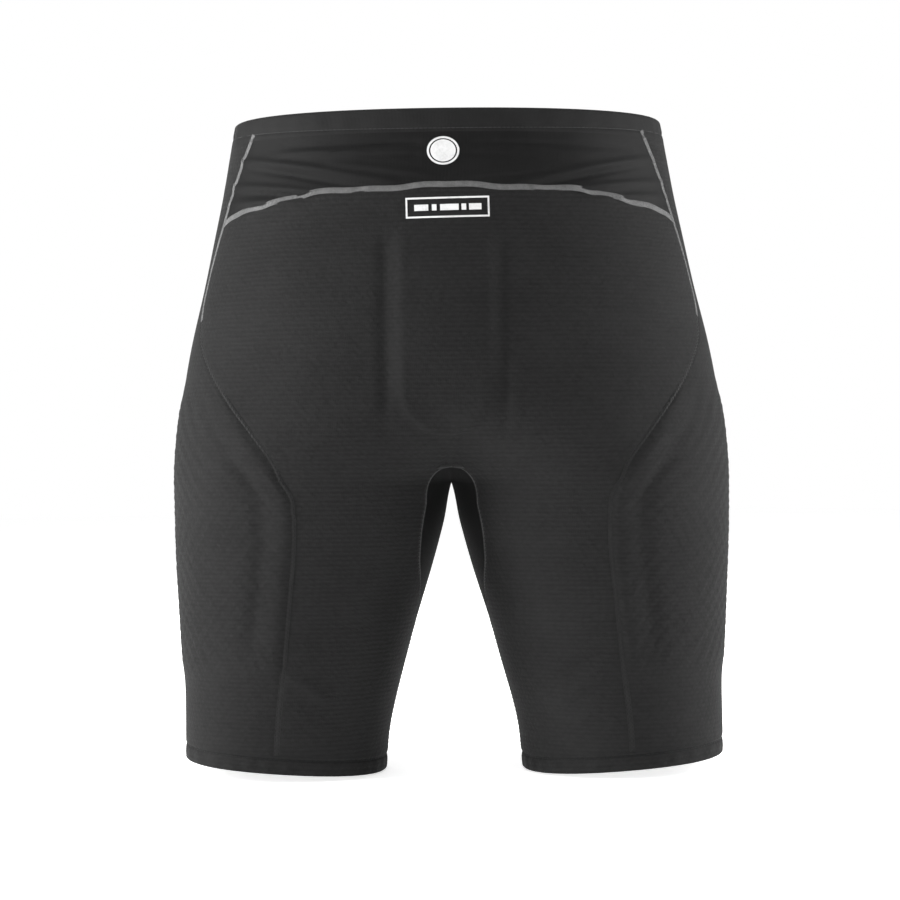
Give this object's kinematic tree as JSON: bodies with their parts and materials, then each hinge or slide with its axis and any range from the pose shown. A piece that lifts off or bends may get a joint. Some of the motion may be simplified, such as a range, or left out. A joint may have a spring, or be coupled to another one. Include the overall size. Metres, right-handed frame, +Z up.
{
  "type": "padded impact shorts",
  "caption": "Close-fitting thigh-length shorts with foam impact pads held in mesh pockets at the tailbone and outer thighs.",
  "frame": {"origin": "centre of the waist opening, in the plane of the waistband's top edge", "axes": "+Z up, +Y towards the wearer's back, +X towards the wearer's left"},
  "size_m": [0.3758, 0.225, 0.44],
  "materials": {
    "textured_shell": "matte charcoal knit with an embossed waffle grain",
    "smooth_stretch": "smooth black stretch knit with a faint sheen",
    "gusset_stretch": "very dark smooth stretch knit",
    "waistband": "smooth black knit, folded and stitched",
    "seam_thread": "grey flatlock thread",
    "foam_pad": "matte closed-cell foam",
    "lining_mesh": "black open mesh",
    "transfer_print": "pale heat transfer, slightly glossy",
    "elastic": "woven ribbed elastic",
    "label_tape": "woven satin tape"
  },
  "bodies": {
    "pelvis": {"back_label": "transfer_print", "care_label": "label_tape", "crotch_gusset": "gusset_stretch", "front_pouch_panel": "smooth_stretch", "left_front_panel_hip": "textured_shell", "left_hip_seam": "seam_thread", "left_side_panel_hip": "textured_shell", "left_yoke_side_seam": "seam_thread", "rear_panel_seat": "textured_shell", "rear_yoke": "smooth_stretch", "right_front_panel_hip": "textured_shell", "right_hip_seam": "seam_thread", "right_side_panel_hip": "textured_shell", "right_yoke_side_seam": "seam_thread", "round_badge": "transfer_print", "tailbone_pad": "foam_pad", "tailbone_pad_pocket": "lining_mesh", "waist_elastic": "elastic", "waistband_casing": "waistband", "yoke_seam": "seam_thread"},
    "leg_left": {"left_front_panel_fold": "textured_shell", "left_front_panel_thigh": "textured_shell", "left_gusset_fold": "gusset_stretch", "left_hem": "textured_shell", "left_rear_panel_fold": "textured_shell", "left_rear_panel_thigh": "textured_shell", "left_side_panel_fold": "textured_shell", "left_side_panel_thigh": "textured_shell", "left_thigh_pad": "foam_pad", "left_thigh_pad_pocket": "lining_mesh"},
    "leg_right": {"right_front_panel_fold": "textured_shell", "right_front_panel_thigh": "textured_shell", "right_gusset_fold": "gusset_stretch", "right_hem": "textured_shell", "right_rear_panel_fold": "textured_shell", "right_rear_panel_thigh": "textured_shell", "right_side_panel_fold": "textured_shell", "right_side_panel_thigh": "textured_shell", "right_thigh_pad": "foam_pad", "right_thigh_pad_pocket": "lining_mesh"}
  },
  "joints": [
    {"name": "left_hip", "type": "hinge", "parent": "pelvis", "child": "leg_left", "pos_m": [0.1, 0, -0.174], "axis": [-1, 0, 0], "range_deg": [-12, 30], "stiffness_Nm_per_rad": 0.6, "deforming": ["left_front_panel_fold", "left_gusset_fold", "left_rear_panel_fold", "left_side_panel_fold", "left_thigh_pad", "left_thigh_pad_pocket"]},
    {"name": "right_hip", "type": "hinge", "parent": "pelvis", "child": "leg_right", "pos_m": [-0.1, 0, -0.174], "axis": [-1, 0, 0], "range_deg": [-12, 30], "stiffness_Nm_per_rad": 0.6, "deforming": ["right_front_panel_fold", "right_gusset_fold", "right_rear_panel_fold", "right_side_panel_fold", "right_thigh_pad", "right_thigh_pad_pocket"]}
  ]
}
